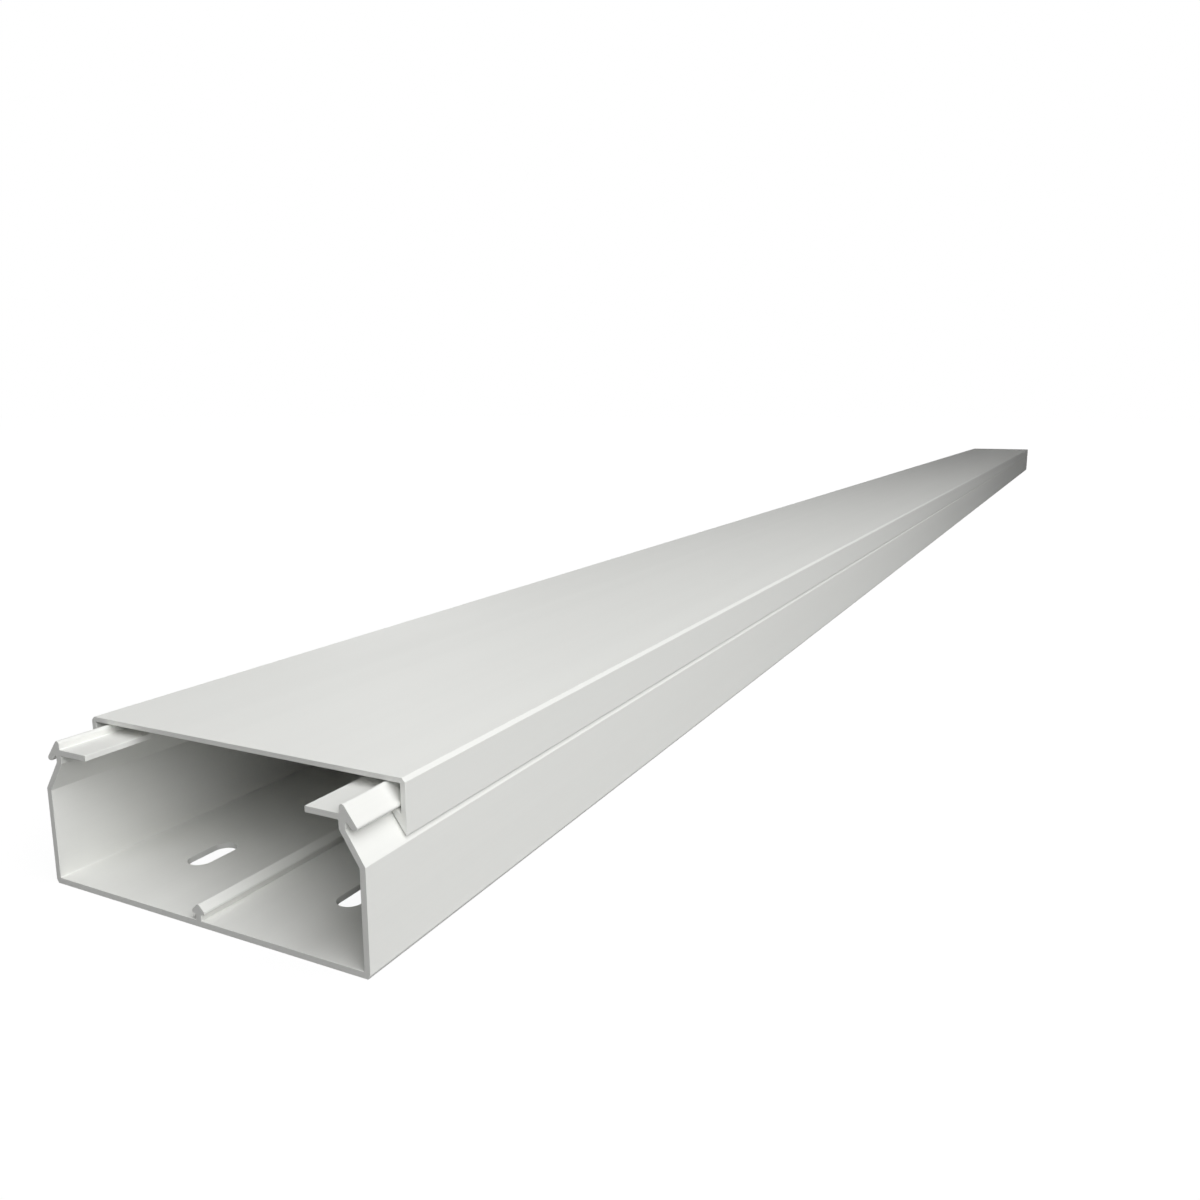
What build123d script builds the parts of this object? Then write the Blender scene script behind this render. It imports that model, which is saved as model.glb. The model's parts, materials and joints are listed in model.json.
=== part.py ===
from build123d import *
import os
from math import asin, atan2, hypot, radians, sin, tan

# Cable trunking: an open channel that is fixed to a wall, and the lid that snaps over it.
# Both pieces are extruded, so each is one section carried along the whole length.
# X runs across the width, Y along the length away from the end that shows the bare
# channel, and Z up from the channel's underside. The origin is the middle of the underside.
# All lengths are in millimetres and all angles in degrees.

# Overall sizes
trunking_width = 100.0
trunking_height = 40.0
base_length = 2000.0
lid_setback = 14.0          # channel left bare in front of the lid's near end

# Outer edges of both pieces are bevelled, and the bevel's own corners rounded a little
bevel_corner_radius = 0.15

# Lid
lid_thickness = 1.3
skirt_thickness = 1.35
lid_edge_chamfer = 0.9
lid_inner_radius = 0.15
hook_grip = 2.7             # how far the hook reaches in from the catch's tip
hook_angle = 36.0           # slope of the hook's inner face, away from upright
hook_notch = 1.15           # width and depth of the notch between hook and skirt
hook_tip_radius = 0.15
skirt_foot_radius = 0.15

# Fits between lid and channel
top_clearance = 0.35        # catch to the underside of the lid
side_clearance = 0.35       # catch to the inside of the skirt
shoulder_clearance = 0.25   # tip of the hook to the sloping shoulder, square to the slope
hook_clearance = 0.35       # top of the hook to the underside of the catch

# Channel walls
floor_thickness = 1.6
wall_thickness = 1.6
floor_edge_chamfer = 0.65   # across the underside
floor_edge_rise = 1.05      # up the wall
floor_inner_radius = 0.3
shoulder_angle = 33.0       # slope of the shoulder, away from upright
shoulder_bend_radius = 0.4
neck_inset = 4.8            # outside of the neck, in from the outside of the wall
neck_thickness = 1.8

# Inward flange at the mouth of the channel
flange_reach = 9.0
flange_thickness = 1.5
flange_drop = 2.15          # top of the flange below the top of the catch
flange_tip_radius = 0.15

# Catch along the top of each side, which the lid's hook snaps under
catch_height = 5.35
catch_setback = 0.3         # catch's inner face, out from the inside of the neck
catch_top_radius = 0.8
catch_tip_radius = 0.65
catch_lip = 1.3             # flat underside, measured in from the tip
notch_rise = 1.85           # top of the notch above the catch's flat underside
notch_radius = 0.3

# Rib along the middle of the floor, which a divider clips onto
rib_height = 4.3            # from the floor to the point where the rib's flanks meet
rib_stem_width = 1.75
rib_stem_height = 1.6
rib_head_width = 3.85
rib_head_side = 0.85
rib_corner_radius = 0.4
rib_crest_radius = 0.7

# Fixing slots through the floor, in pairs side by side
slot_length = 14.5
slot_width = 6.8
slot_row_spacing = 50.0
slot_pitch = 250.0
first_slot = 27.35          # centre of the first pair, from the near end

# Places shared by both pieces, on the right-hand side
half_width = trunking_width / 2
near_end = -base_length / 2
far_end = base_length / 2
lid_underside = trunking_height - lid_thickness
skirt_inside = half_width - skirt_thickness
catch_top = lid_underside - top_clearance
catch_underside = catch_top - catch_height
catch_tip = skirt_inside - side_clearance
hook_top = catch_underside - hook_clearance
hook_tip = catch_tip - hook_grip
slope = radians(shoulder_angle)
skirt_foot = hook_top - (half_width - hook_tip) / tan(radians(hook_angle))
shoulder_foot = hook_top - (half_width - hook_tip) / tan(slope) - shoulder_clearance / sin(slope)


def rounded_line(corners, close=False):
    """Draw straight runs through corners given as (x, z, radius), each rounded to its radius."""
    points = [(x, z) for x, z, radius in corners]
    radii = [radius for x, z, radius in corners]
    FilletPolyline(*points, radius=radii if close else radii[1:-1], close=close)


# Channel walls and floor: the shoulder's inner face lies a wall thickness inside its outer one
wall_inside = half_width - wall_thickness
neck_outside = half_width - neck_inset
neck_inside = neck_outside - neck_thickness
shoulder_top = shoulder_foot + neck_inset / tan(slope)
inner_slope_foot = shoulder_foot - wall_thickness / sin(slope)
inner_shoulder_foot = inner_slope_foot + wall_thickness / tan(slope)
inner_shoulder_top = inner_slope_foot + (half_width - neck_inside) / tan(slope)
flange_top = catch_top - flange_drop
flange_underside = flange_top - flange_thickness
flange_tip = neck_inside - flange_reach

# Catch: its flank is the straight line that touches both the top arc and the tip arc
catch_inside = neck_inside + catch_setback
arc_run = (catch_tip - catch_tip_radius) - (catch_inside + catch_top_radius)
arc_fall = (catch_top - catch_top_radius) - (catch_underside + catch_tip_radius)
arc_turn = asin((catch_top_radius - catch_tip_radius) / hypot(arc_run, arc_fall))
flank = atan2(arc_run, arc_fall) - arc_turn
lip_angle = radians(90) - flank
catch_apex = catch_top - catch_top_radius + catch_top_radius / tan(flank / 2)
catch_point = catch_tip - catch_tip_radius + catch_tip_radius / tan(lip_angle / 2)

channel_corners = [
    (0, 0, 0),
    (half_width - floor_edge_chamfer, 0, bevel_corner_radius),
    (half_width, floor_edge_rise, bevel_corner_radius),
    (half_width, shoulder_foot, shoulder_bend_radius),
    (neck_outside, shoulder_top, shoulder_bend_radius),
    (neck_outside, catch_underside + notch_rise, notch_radius),
    (catch_tip - catch_lip, catch_underside, notch_radius),
    (catch_point, catch_underside, catch_tip_radius),
    (catch_inside, catch_apex, catch_top_radius),
    (catch_inside, flange_top, flange_tip_radius),
    (flange_tip, flange_top, flange_tip_radius),
    (flange_tip, flange_underside, flange_tip_radius),
    (neck_inside, flange_underside, flange_tip_radius),
    (neck_inside, inner_shoulder_top, shoulder_bend_radius),
    (wall_inside, inner_shoulder_foot, shoulder_bend_radius),
    (wall_inside, floor_thickness, floor_inner_radius),
    (0, floor_thickness, 0),
]

# Rib: a stem with an arrow-shaped head, standing on the floor and rooted in it
rib_root = floor_thickness / 2
rib_head_underside = floor_thickness + rib_stem_height
rib_head_shoulder = rib_head_underside + rib_head_side
rib_corners = [
    (rib_stem_width / 2, rib_root, 0),
    (rib_stem_width / 2, rib_head_underside, 0),
    (rib_head_width / 2, rib_head_underside, rib_corner_radius),
    (rib_head_width / 2, rib_head_shoulder, rib_corner_radius),
    (0, floor_thickness + rib_height, rib_crest_radius),
    (-rib_head_width / 2, rib_head_shoulder, rib_corner_radius),
    (-rib_head_width / 2, rib_head_underside, rib_corner_radius),
    (-rib_stem_width / 2, rib_head_underside, 0),
    (-rib_stem_width / 2, rib_root, 0),
]

# Slots: as many pairs as fit between the two ends with the same margin kept at each
slot_count = int((base_length - 2 * first_slot) // slot_pitch) + 1
slot_middle = near_end + first_slot + slot_pitch * (slot_count - 1) / 2

with BuildPart() as base:
    with BuildSketch(Plane.XZ.offset(-far_end)) as base_section:
        with BuildLine():
            rounded_line(channel_corners)
            mirror(about=Plane.YZ)
        make_face()
        with BuildLine():
            rounded_line(rib_corners, close=True)
        make_face()
    extrude(amount=base_length)
    with BuildSketch(Plane.XY) as slot_pattern:
        with Locations((0, slot_middle)):
            with GridLocations(slot_row_spacing, slot_pitch, 2, slot_count):
                SlotOverall(slot_length, slot_width, rotation=90)
    extrude(amount=floor_thickness, mode=Mode.SUBTRACT)

# Lid: a flat top with a skirt down each side, turned in below as a barbed hook
lid_length = base_length - lid_setback
lid_corners = [
    (0, trunking_height, 0),
    (half_width - lid_edge_chamfer, trunking_height, bevel_corner_radius),
    (half_width, trunking_height - lid_edge_chamfer, bevel_corner_radius),
    (half_width, skirt_foot, skirt_foot_radius),
    (hook_tip, hook_top, hook_tip_radius),
    (skirt_inside - hook_notch, hook_top, hook_tip_radius),
    (skirt_inside, hook_top - hook_notch, hook_tip_radius),
    (skirt_inside, lid_underside, lid_inner_radius),
    (0, lid_underside, 0),
]

with BuildPart() as lid:
    with BuildSketch(Plane.XZ.offset(-far_end)) as lid_section:
        with BuildLine():
            rounded_line(lid_corners)
            mirror(about=Plane.YZ)
        make_face()
    extrude(amount=lid_length)

base.part.label = "base"
lid.part.label = "lid"

os.makedirs("parts", exist_ok=True)
export_step(base.part, "parts/base.step")
export_step(lid.part, "parts/lid.step")
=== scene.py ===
import json
from math import asin, atan2, ceil, cos, hypot, pi, radians, sin, tan

import bmesh
import bpy
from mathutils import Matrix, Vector


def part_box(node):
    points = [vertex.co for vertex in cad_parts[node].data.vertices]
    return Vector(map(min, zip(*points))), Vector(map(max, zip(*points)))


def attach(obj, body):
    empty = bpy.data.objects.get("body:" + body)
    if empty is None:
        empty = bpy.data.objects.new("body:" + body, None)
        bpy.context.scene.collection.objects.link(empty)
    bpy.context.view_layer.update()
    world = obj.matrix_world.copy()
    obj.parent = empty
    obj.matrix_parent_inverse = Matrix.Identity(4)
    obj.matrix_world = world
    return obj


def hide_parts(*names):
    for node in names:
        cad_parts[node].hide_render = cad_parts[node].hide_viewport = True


# Cable trunking: the looks of the channel and its lid. Each is rebuilt here from its section with
# fine arcs, and stands for the CAD solid of the same size. Metres, in the frame of the CAD: X runs
# across the width, Y along the length away from the bare end of the channel, and Z up.
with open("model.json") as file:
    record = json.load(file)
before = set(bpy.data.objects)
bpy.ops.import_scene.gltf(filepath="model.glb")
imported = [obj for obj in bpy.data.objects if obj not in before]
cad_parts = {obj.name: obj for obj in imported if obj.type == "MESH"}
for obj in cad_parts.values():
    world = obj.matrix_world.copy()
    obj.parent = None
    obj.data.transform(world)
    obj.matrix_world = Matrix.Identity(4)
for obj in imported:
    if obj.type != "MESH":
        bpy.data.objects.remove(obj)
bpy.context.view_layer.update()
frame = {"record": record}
MM = 0.001

# Overall sizes, from the frame
base_low, base_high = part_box("base")
lid_low, lid_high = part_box("lid")
half_width = base_high.x
near_end = base_low.y
far_end = base_high.y
lid_near_end = lid_low.y
lid_top = lid_high.z

# Outer edges of both pieces are bevelled, and the bevel's own corners rounded a little
bevel_corner_radius = 0.15 * MM

# Lid
lid_thickness = 1.3 * MM
skirt_thickness = 1.35 * MM
lid_edge_chamfer = 0.9 * MM
lid_inner_radius = 0.15 * MM
hook_grip = 2.7 * MM
hook_slope = radians(36)
hook_notch = 1.15 * MM
hook_tip_radius = 0.15 * MM
skirt_foot_radius = 0.15 * MM

# Fits between lid and channel
top_clearance = 0.35 * MM
side_clearance = 0.35 * MM
shoulder_clearance = 0.25 * MM
hook_clearance = 0.35 * MM

# Channel walls
floor_thickness = 1.6 * MM
wall_thickness = 1.6 * MM
floor_edge_chamfer = 0.65 * MM
floor_edge_rise = 1.05 * MM
floor_inner_radius = 0.3 * MM
shoulder_slope = radians(33)
shoulder_bend_radius = 0.4 * MM
neck_inset = 4.8 * MM
neck_thickness = 1.8 * MM

# Inward flange at the mouth of the channel
flange_reach = 9.0 * MM
flange_thickness = 1.5 * MM
flange_drop = 2.15 * MM
flange_tip_radius = 0.15 * MM

# Catch along the top of each side
catch_height = 5.35 * MM
catch_setback = 0.3 * MM     # catch's inner face, out from the inside of the neck
catch_top_radius = 0.8 * MM
catch_tip_radius = 0.65 * MM
catch_lip = 1.3 * MM
notch_rise = 1.85 * MM
notch_radius = 0.3 * MM

# Rib along the middle of the floor
rib_height = 4.3 * MM
rib_stem_width = 1.75 * MM
rib_stem_height = 1.6 * MM
rib_head_width = 3.85 * MM
rib_head_side = 0.85 * MM
rib_corner_radius = 0.4 * MM
rib_crest_radius = 0.7 * MM

# Fixing slots through the floor, in pairs side by side
slot_length = 14.5 * MM
slot_width = 6.8 * MM
slot_row_spacing = 50.0 * MM
slot_pitch = 250.0 * MM
slot_count = 8
first_slot = 27.35 * MM     # centre of the first pair, from the near end

# Fineness of the meshes
arc_step = radians(9)
ring_spacing = 100.0 * MM
cut_edge_softness = 0.1 * MM
crease_angle = radians(40)

# Kinds of face, kept as material numbers until a piece is dressed. Two kinds meet at each cut edge.
SKIN, SAWN, PUNCHED = range(3)

# Places shared by both pieces, on the right-hand side
lid_underside = lid_top - lid_thickness
skirt_inside = half_width - skirt_thickness
catch_top = lid_underside - top_clearance
catch_underside = catch_top - catch_height
catch_tip = skirt_inside - side_clearance
hook_top = catch_underside - hook_clearance
hook_tip = catch_tip - hook_grip
skirt_foot = hook_top - (half_width - hook_tip) / tan(hook_slope)
shoulder_drop = (half_width - hook_tip) / tan(shoulder_slope) + shoulder_clearance / sin(shoulder_slope)
shoulder_foot = hook_top - shoulder_drop


def catch_corners(inside):
    """The catch as (x, z, radius). Its flank is the line that touches its top arc and its tip arc."""
    arc_run = (catch_tip - catch_tip_radius) - (inside + catch_top_radius)
    arc_fall = (catch_top - catch_top_radius) - (catch_underside + catch_tip_radius)
    arc_turn = asin((catch_top_radius - catch_tip_radius) / hypot(arc_run, arc_fall))
    flank = atan2(arc_run, arc_fall) - arc_turn
    lip_angle = radians(90) - flank
    apex = catch_top - catch_top_radius + catch_top_radius / tan(flank / 2)
    point = catch_tip - catch_tip_radius + catch_tip_radius / tan(lip_angle / 2)
    return [
        (catch_tip - catch_lip, catch_underside, notch_radius),
        (point, catch_underside, catch_tip_radius),
        (inside, apex, catch_top_radius),
    ]


def rib_half():
    """Right half of the rib's section as (x, z, radius), from the foot of its stem to its crest."""
    head_underside = floor_thickness + rib_stem_height
    head_shoulder = head_underside + rib_head_side
    return [
        (rib_stem_width / 2, floor_thickness, 0),
        (rib_stem_width / 2, head_underside, 0),
        (rib_head_width / 2, head_underside, rib_corner_radius),
        (rib_head_width / 2, head_shoulder, rib_corner_radius),
        (0, floor_thickness + rib_height, rib_crest_radius),
    ]


def channel_half():
    """Right half of the channel's section as (x, z, radius), from its lower edge to the rib's crest."""
    wall_inside = half_width - wall_thickness
    neck_outside = half_width - neck_inset
    neck_inside = neck_outside - neck_thickness
    shoulder_top = shoulder_foot + neck_inset / tan(shoulder_slope)
    inner_slope_foot = shoulder_foot - wall_thickness / sin(shoulder_slope)
    inner_shoulder_foot = inner_slope_foot + wall_thickness / tan(shoulder_slope)
    inner_shoulder_top = inner_slope_foot + (half_width - neck_inside) / tan(shoulder_slope)
    flange_top = catch_top - flange_drop
    flange_underside = flange_top - flange_thickness
    flange_tip = neck_inside - flange_reach
    catch_inside = neck_inside + catch_setback
    return [
        (half_width - floor_edge_chamfer, 0, bevel_corner_radius),
        (half_width, floor_edge_rise, bevel_corner_radius),
        (half_width, shoulder_foot, shoulder_bend_radius),
        (neck_outside, shoulder_top, shoulder_bend_radius),
        (neck_outside, catch_underside + notch_rise, notch_radius),
        *catch_corners(catch_inside),
        (catch_inside, flange_top, flange_tip_radius),
        (flange_tip, flange_top, flange_tip_radius),
        (flange_tip, flange_underside, flange_tip_radius),
        (neck_inside, flange_underside, flange_tip_radius),
        (neck_inside, inner_shoulder_top, shoulder_bend_radius),
        (wall_inside, inner_shoulder_foot, shoulder_bend_radius),
        (wall_inside, floor_thickness, floor_inner_radius),
        *rib_half(),
    ]


def lid_half():
    """Right half of the lid's section as (x, z, radius), from its upper edge round to its underside."""
    return [
        (half_width - lid_edge_chamfer, lid_top, bevel_corner_radius),
        (half_width, lid_top - lid_edge_chamfer, bevel_corner_radius),
        (half_width, skirt_foot, skirt_foot_radius),
        (hook_tip, hook_top, hook_tip_radius),
        (skirt_inside - hook_notch, hook_top, hook_tip_radius),
        (skirt_inside, hook_top - hook_notch, hook_tip_radius),
        (skirt_inside, lid_underside, lid_inner_radius),
    ]


def both_halves(half):
    """Close a section with the mirror image of its right half. A corner on the middle is kept once."""
    return half + [(-x, z, radius) for x, z, radius in reversed(half) if x > 0]


def rounded_corner(corner, before, after, radius):
    """Points of the arc that rounds one corner of an outline, in fine steps."""
    to_before = (before - corner).normalized()
    to_after = (after - corner).normalized()
    half_angle = to_before.angle(to_after) / 2
    centre = corner + (to_before + to_after).normalized() * radius / sin(half_angle)
    start = corner + to_before * radius / tan(half_angle) - centre
    end = corner + to_after * radius / tan(half_angle) - centre
    turn = start.angle_signed(end)
    steps = ceil(abs(turn) / arc_step)
    first = atan2(start.y, start.x)
    angles = [first - turn * step / steps for step in range(steps + 1)]
    return [centre + radius * Vector((cos(angle), sin(angle))) for angle in angles]


def rounded_outline(corners):
    """Turn corners given as (x, z, radius) into the points of a closed outline."""
    points = []
    for index, (x, z, radius) in enumerate(corners):
        corner = Vector((x, z))
        before = Vector(corners[index - 1][:2])
        after = Vector(corners[(index + 1) % len(corners)][:2])
        points += rounded_corner(corner, before, after, radius) if radius else [corner]
    return points


def stack_rings(mesh, rings, side_kind, end_kind):
    """Join rings of vertices into a closed prism, with one kind of face around and one at its ends."""
    for ring, following in zip(rings, rings[1:]):
        for index in range(len(ring)):
            side = mesh.faces.new((ring[index - 1], ring[index], following[index], following[index - 1]))
            side.material_index = side_kind
    for ring in (rings[0], rings[-1]):
        mesh.faces.new(ring).material_index = end_kind


def object_from(mesh, name):
    """Turn a finished bmesh into an object in the scene, with its faces outwards."""
    bmesh.ops.recalc_face_normals(mesh, faces=mesh.faces)
    data = bpy.data.meshes.new(name)
    mesh.to_mesh(data)
    mesh.free()
    made = bpy.data.objects.new(name, data)
    bpy.context.scene.collection.objects.link(made)
    return made


def extrude(name, corners, start, end):
    """Carry a section along Y from start to end, with rings on the way so that its faces stay short."""
    outline = rounded_outline(corners)
    ring_count = ceil((end - start) / ring_spacing) + 1
    mesh = bmesh.new()
    rings = []
    for number in range(ring_count):
        y = start + (end - start) * number / (ring_count - 1)
        rings.append([mesh.verts.new((point.x, y, point.y)) for point in outline])
    stack_rings(mesh, rings, SKIN, SAWN)
    return object_from(mesh, name)


def slot_outline(middle):
    """Outline of one slot in plan: two half circles joined by straight sides along Y."""
    radius = slot_width / 2
    to_centre = slot_length / 2 - radius
    steps = round(pi / arc_step)
    points = []
    for side in (1, -1):
        for step in range(steps + 1):
            angle = pi * step / steps
            points.append(middle + side * Vector((radius * cos(angle), to_centre + radius * sin(angle))))
    return points


def slot_punches():
    """The punch of every slot: upright prisms that reach past both faces of the floor."""
    mesh = bmesh.new()
    for row in (-0.5, 0.5):
        for number in range(slot_count):
            middle = Vector((row * slot_row_spacing, near_end + first_slot + number * slot_pitch))
            rings = []
            for z in (-floor_thickness, 2 * floor_thickness):
                rings.append([mesh.verts.new((p.x, p.y, z)) for p in slot_outline(middle)])
            stack_rings(mesh, rings, PUNCHED, PUNCHED)
    return object_from(mesh, "slot_punches")


def punch(piece, punches):
    """Cut the punches out of a piece, and keep the result as its mesh."""
    for cut in (piece, punches):
        for kind in (SKIN, SAWN, PUNCHED):
            cut.data.materials.append(None)
    slots = piece.modifiers.new("slots", "BOOLEAN")
    slots.object = punches
    slots.operation = "DIFFERENCE"
    slots.solver = "EXACT"
    slots.material_mode = "INDEX"
    evaluated = piece.evaluated_get(bpy.context.evaluated_depsgraph_get())
    punched = bpy.data.meshes.new_from_object(evaluated)
    piece.modifiers.clear()
    piece.data = punched
    bpy.data.objects.remove(punches)


def soften(piece):
    """Take the sharpness off each edge that a saw or punch left, and shade flats flat and arcs round."""
    mesh = bmesh.new()
    mesh.from_mesh(piece.data)
    cut_edges = []
    for edge in mesh.edges:
        kinds = {face.material_index for face in edge.link_faces}
        if len(kinds) > 1:
            cut_edges.append(edge)
    bmesh.ops.bevel(mesh, geom=cut_edges, offset=cut_edge_softness, segments=2, profile=0.5,
                    affect="EDGES", clamp_overlap=False)
    for face in mesh.faces:
        face.smooth = True
    mesh.to_mesh(piece.data)
    mesh.free()
    piece.data.set_sharp_from_angle(angle=crease_angle)
    weighted = piece.modifiers.new("flats shade flat", "WEIGHTED_NORMAL")
    weighted.mode = "FACE_AREA"
    weighted.weight = 100
    weighted.keep_sharp = True


# Finish. A spacing is how far apart a pattern's features lie along X, Y and Z, a tone the share of the
# run of shades that it takes up, and a relief how high it stands. Shades are shares of the colour.
noise_range = (0.3, 0.7)                # where nearly all of a noise's values lie
gloss_level = 0.08
line_spacing = (0.6 * MM, 900 * MM, 0.6 * MM)
line_tone = 0.3
line_roughness = 0.05                   # either way
line_relief = 0.004 * MM
band_spacing = (8 * MM, 1500 * MM, 8 * MM)
band_tone = 0.4
cloud_spacing = (25 * MM, 90 * MM, 25 * MM)
cloud_tone = 0.3
cloud_roughness = 0.03                  # either way
grain_spacing = (0.35 * MM, 0.35 * MM, 0.35 * MM)
grain_relief = 0.003 * MM
skin_roughness = (0.6, 0.7)
skin_shades = (0.985, 1.015)


def add(tree, kind, inputs=None, **settings):
    """Add a node, and give each input that is named a value or a link."""
    made = tree.nodes.new(kind)
    for name, value in settings.items():
        setattr(made, name, value)
    for name, value in (inputs or {}).items():
        if isinstance(value, bpy.types.NodeSocket):
            tree.links.new(value, made.inputs[name])
        else:
            made.inputs[name].default_value = value
    return made


def noise(tree, place, spacing, detail):
    """Noise whose features lie a spacing apart, given as one length for each of X, Y and Z."""
    scale = tuple(1 / length for length in spacing)
    scaled = add(tree, "ShaderNodeMapping", {"Vector": place, "Scale": scale})
    inputs = {"Vector": scaled.outputs[0], "Scale": 1.0, "Detail": detail}
    return add(tree, "ShaderNodeTexNoise", inputs).outputs[0]


def spread(tree, value, low, high, usual=noise_range):
    """Stretch a value from its usual range, by default a noise's, to the range from low to high."""
    inputs = {"Value": value, "From Min": usual[0], "From Max": usual[1], "To Min": low, "To Max": high}
    return add(tree, "ShaderNodeMapRange", inputs).outputs[0]


def total(tree, *values):
    """Sum of several values."""
    result = values[0]
    for value in values[1:]:
        result = add(tree, "ShaderNodeMath", {0: result, 1: value}, operation="ADD").outputs[0]
    return result


def shade(tree, value, colour, darkest, lightest):
    """A colour that runs from its darkest share to its lightest as the value goes from 0 to 1."""
    shades = []
    for share in (darkest, lightest):
        shades.append(tuple(channel * share for channel in colour) + (1,))
    ramp = add(tree, "ShaderNodeValToRGB", {"Fac": value})
    for element, ink in zip(ramp.color_ramp.elements, shades):
        element.color = ink
    return ramp.outputs[0]


def relief(tree, *layers):
    """Bumps laid over each other, each given as its height from 0 to 1 and its depth in metres."""
    inputs = {}
    for height, depth in layers:
        inputs.update({"Height": height, "Distance": depth, "Strength": 1.0})
        inputs["Normal"] = add(tree, "ShaderNodeBump", inputs).outputs[0]
    return inputs["Normal"]


def new_material(name):
    """An empty node material, and the place on the piece that its patterns are drawn from."""
    made = bpy.data.materials.new(name)
    made.use_nodes = True
    made.node_tree.nodes.clear()
    place = add(made.node_tree, "ShaderNodeTexCoord").outputs["Object"]
    return made, made.node_tree, place


def pvc(tree, colour, roughness, normal):
    """Finish a material as rigid PVC: a pale body under a weak satin gloss."""
    inputs = {"Base Color": colour, "Roughness": roughness, "Normal": normal,
              "Specular IOR Level": gloss_level}
    shader = add(tree, "ShaderNodeBsdfPrincipled", inputs)
    add(tree, "ShaderNodeOutputMaterial", {"Surface": shader.outputs[0]})


def extruded_skin(name, colour):
    """Skin from the die: faint lines drawn along the length, over a fine satin grain."""
    made, tree, place = new_material(name)
    lines = noise(tree, place, line_spacing, detail=3.0)
    bands = noise(tree, place, band_spacing, detail=1.0)
    clouds = noise(tree, place, cloud_spacing, detail=2.0)
    grain = noise(tree, place, grain_spacing, detail=2.0)
    tone = total(tree, spread(tree, lines, 0, line_tone), spread(tree, bands, 0, band_tone),
                 spread(tree, clouds, 0, cloud_tone))
    roughness = total(tree, spread(tree, lines, -line_roughness, line_roughness),
                      spread(tree, clouds, -cloud_roughness, cloud_roughness),
                      spread(tree, grain, *skin_roughness))
    normal = relief(tree, (lines, line_relief), (grain, grain_relief))
    pvc(tree, shade(tree, tone, colour, *skin_shades), roughness, normal)
    return made


def dress(piece, slot):
    """Give every face of a piece the skin of its plastic, in the colour the record has for its slot."""
    colours = {entry["slot"]: entry["base_color"] for entry in frame["record"]["materials"]}
    piece.data.materials.clear()        # which also makes the kinds of face one
    piece.data.materials.append(extruded_skin(slot + "_skin", tuple(colours[slot])))


def make_base():
    """The channel, with its slots punched."""
    base = extrude("base_extrusion", both_halves(channel_half()), near_end, far_end)
    punch(base, slot_punches())
    soften(base)
    dress(base, "base_pvc")
    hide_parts("base")
    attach(base, "base")


def make_lid():
    """The lid, set back from the channel's near end."""
    lid = extrude("lid_extrusion", both_halves(lid_half()), lid_near_end, far_end)
    soften(lid)
    dress(lid, "lid_pvc")
    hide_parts("lid")
    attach(lid, "lid")


# Studio: one big soft box over the right-hand side of the near end, on a white floor
key_place = Vector((0.82, near_end - 0.39, 0.966))
key_aim = Vector((0, near_end - 0.306, 0))
key_size = 1.8
key_power = 28.3

# Smaller soft boxes for what the first one leaves dark: a low one to the left, a low one to the
# left behind, and one over the place where the lid lies once it is slid off
side_place = Vector((-3.2, near_end + 1.2, 0.45))
side_aim = Vector((0, near_end + 1.2, 0.1))
side_size = 0.8
side_power = 20.0
rear_place = Vector((-3.4, far_end + 2.4, 0.5))
rear_aim = Vector((0, far_end, 0.1))
rear_size = 0.9
rear_power = 40.0
over_lid_place = Vector((0.4, far_end + 1.8, 1.0))
over_lid_aim = Vector((0, far_end + 1.6, 0))
over_lid_size = 0.9
over_lid_power = 3.2

# World and floor
white = (1, 1, 1, 1)
fill_strength = 0.02        # of the even light from all round
floor_half_side = 12.0
floor_segments = 8          # along each side of the floor's mesh
brightest_floor = Vector((1.0, near_end - 0.4, 0))      # where the key lights the floor most
glow_at_brightest = 0.865   # strength of the floor's glow there
glow_reach = 2.0            # distance from there at which the glow reaches 1
shadow_share = 0.09         # of the lamps' light on the floor, shown over the glow
bounce_share = 0.26         # of the lamps' light on the floor, returned to the object

# Camera, as fitted to the straight edges in the photograph
camera_place = (0.178224, -1.150022, 0.118111)
camera_tilt = radians(79.1735)          # up from looking straight down
camera_turn = radians(26.378)           # to the left of looking along the length
camera_lens = 29.98
camera_sensor_width = 36
camera_clip_start = 0.01


def shown_as_background(tree):
    """1 for the rays that show the background itself: from the camera, off a gloss or through glass."""
    path = add(tree, "ShaderNodeLightPath")
    shown = path.outputs["Is Camera Ray"]
    for kind in ("Is Glossy Ray", "Is Transmission Ray"):
        inputs = {0: shown, 1: path.outputs[kind]}
        shown = add(tree, "ShaderNodeMath", inputs, operation="MAXIMUM").outputs[0]
    return shown


def make_world():
    """White behind the object, and a weak even light from all round on it."""
    world = bpy.data.worlds.new("studio")
    world.use_nodes = True
    tree = world.node_tree
    tree.nodes.clear()
    backdrop = add(tree, "ShaderNodeBackground", {"Color": white, "Strength": 1.0})
    fill = add(tree, "ShaderNodeBackground", {"Color": white, "Strength": fill_strength})
    inputs = {0: shown_as_background(tree), 1: fill.outputs[0], 2: backdrop.outputs[0]}
    mixed = add(tree, "ShaderNodeMixShader", inputs)
    add(tree, "ShaderNodeOutputWorld", {"Surface": mixed.outputs[0]})
    bpy.context.scene.world = world


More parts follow.
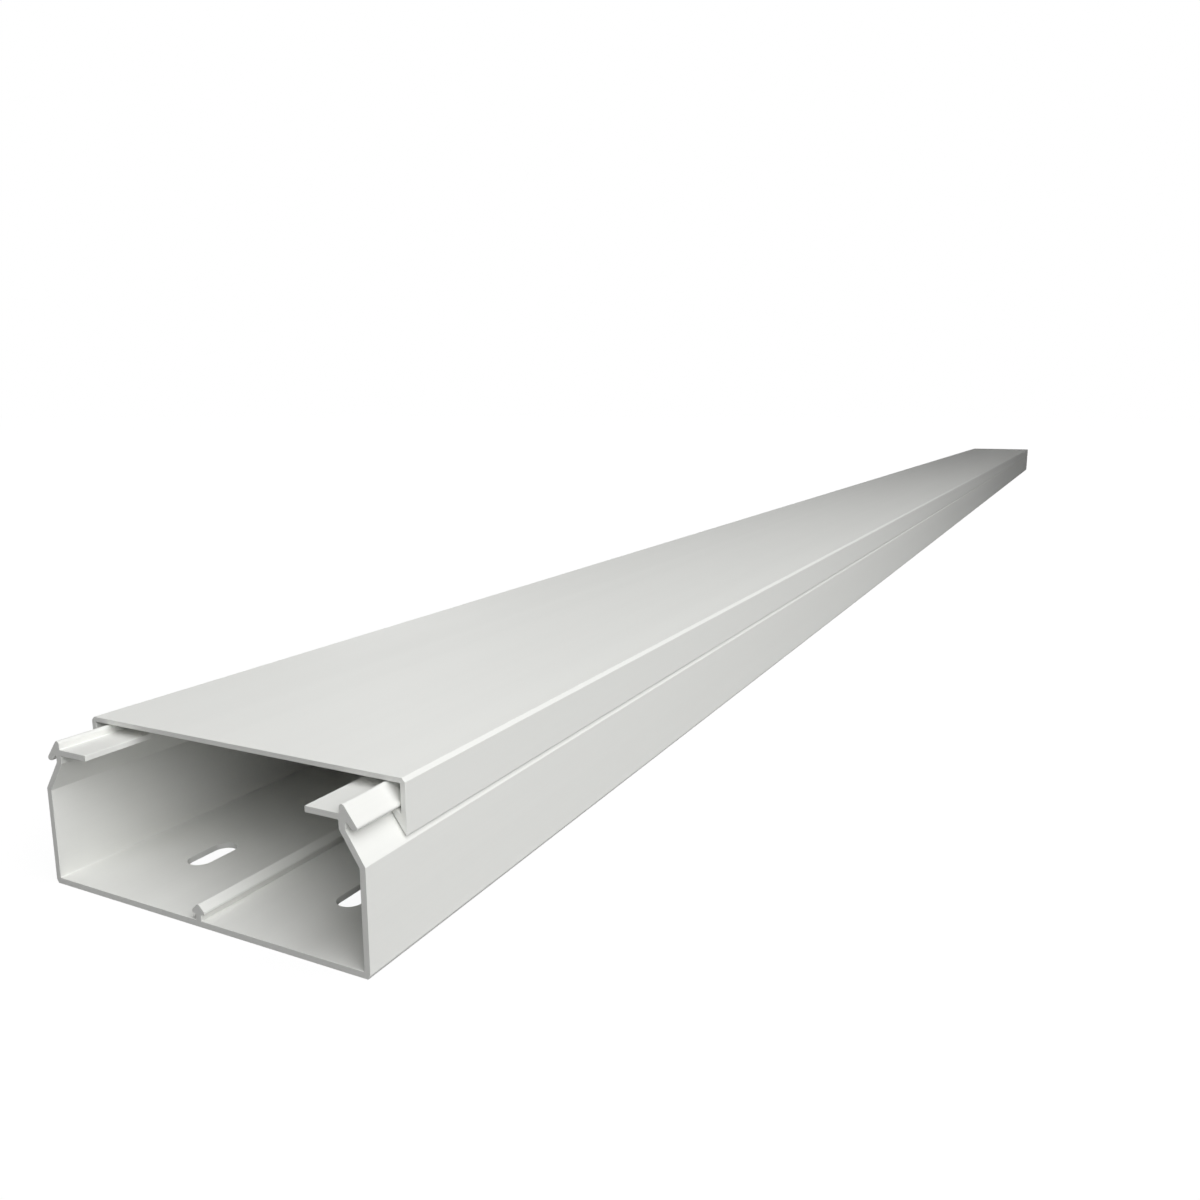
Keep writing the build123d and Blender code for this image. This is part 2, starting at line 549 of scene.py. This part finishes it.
def white_floor():
    """White that keeps the object's shadow. Its glow makes up for the key light's falling off."""
    made, tree, place = new_material("white_floor")
    away = add(tree, "ShaderNodeVectorMath", {0: place, 1: brightest_floor}, operation="DISTANCE")
    glow = spread(tree, away.outputs["Value"], glow_at_brightest, 1.0, usual=(0, glow_reach))
    light = add(tree, "ShaderNodeEmission", {"Color": white, "Strength": glow})
    matt = add(tree, "ShaderNodeBsdfDiffuse", {"Color": (shadow_share, shadow_share, shadow_share, 1)})
    shown = add(tree, "ShaderNodeAddShader", {0: light.outputs[0], 1: matt.outputs[0]})
    bounce = add(tree, "ShaderNodeBsdfDiffuse", {"Color": (bounce_share, bounce_share, bounce_share, 1)})
    inputs = {0: shown_as_background(tree), 1: bounce.outputs[0], 2: shown.outputs[0]}
    mixed = add(tree, "ShaderNodeMixShader", inputs)
    add(tree, "ShaderNodeOutputMaterial", {"Surface": mixed.outputs[0]})
    return made


def make_floor():
    """The level floor that the object lies on."""
    mesh = bmesh.new()
    bmesh.ops.create_grid(mesh, x_segments=floor_segments, y_segments=floor_segments,
                          size=floor_half_side)
    floor = object_from(mesh, "floor")
    floor.data.materials.append(white_floor())


def make_lamp(name, place, aim, size, power):
    """A square soft box at a place, facing the point that it is aimed at."""
    data = bpy.data.lights.new(name, "AREA")
    data.shape = "SQUARE"
    data.size = size
    data.energy = power
    lamp = bpy.data.objects.new(name, data)
    bpy.context.scene.collection.objects.link(lamp)
    lamp.location = place
    lamp.rotation_euler = (place - aim).to_track_quat("Z", "Y").to_euler()


def make_camera():
    """The photograph's viewpoint: before the near end, to its right and a little above the lid."""
    data = bpy.data.cameras.new("camera")
    data.lens = camera_lens
    data.sensor_width = camera_sensor_width
    data.clip_start = camera_clip_start
    camera = bpy.data.objects.new("camera", data)
    bpy.context.scene.collection.objects.link(camera)
    camera.location = camera_place
    camera.rotation_euler = (camera_tilt, 0, camera_turn)
    bpy.context.scene.camera = camera


make_camera()
make_base()
make_lid()
make_world()
make_floor()
make_lamp("key", key_place, key_aim, key_size, key_power)
make_lamp("side", side_place, side_aim, side_size, side_power)
make_lamp("rear", rear_place, rear_aim, rear_size, rear_power)
make_lamp("over_lid", over_lid_place, over_lid_aim, over_lid_size, over_lid_power)
bpy.context.scene.view_settings.view_transform = "Standard"
